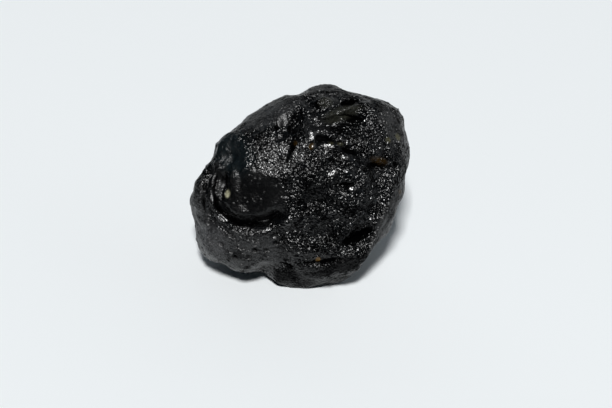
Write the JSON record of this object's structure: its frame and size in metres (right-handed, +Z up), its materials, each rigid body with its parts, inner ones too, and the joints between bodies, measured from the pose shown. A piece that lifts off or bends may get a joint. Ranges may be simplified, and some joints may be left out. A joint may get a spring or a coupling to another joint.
{
  "type": "tektite",
  "caption": "Lump of natural black glass with a smooth boss, etched pits, grooves and ridges, standing on a small flat spot, for display and teaching.",
  "frame": {"origin": "on the surface that the stone rests on, under the middle of the stone's box", "axes": "+Z up, +X to the right along the stone's longest side, -Y towards the front, where the broad face looks forward and up"},
  "size_m": [0.0442, 0.0334, 0.035],
  "materials": {
    "black_glass": "satin"
  },
  "bodies": {
    "root": {"tektite": "black_glass"}
  },
  "joints": []
}
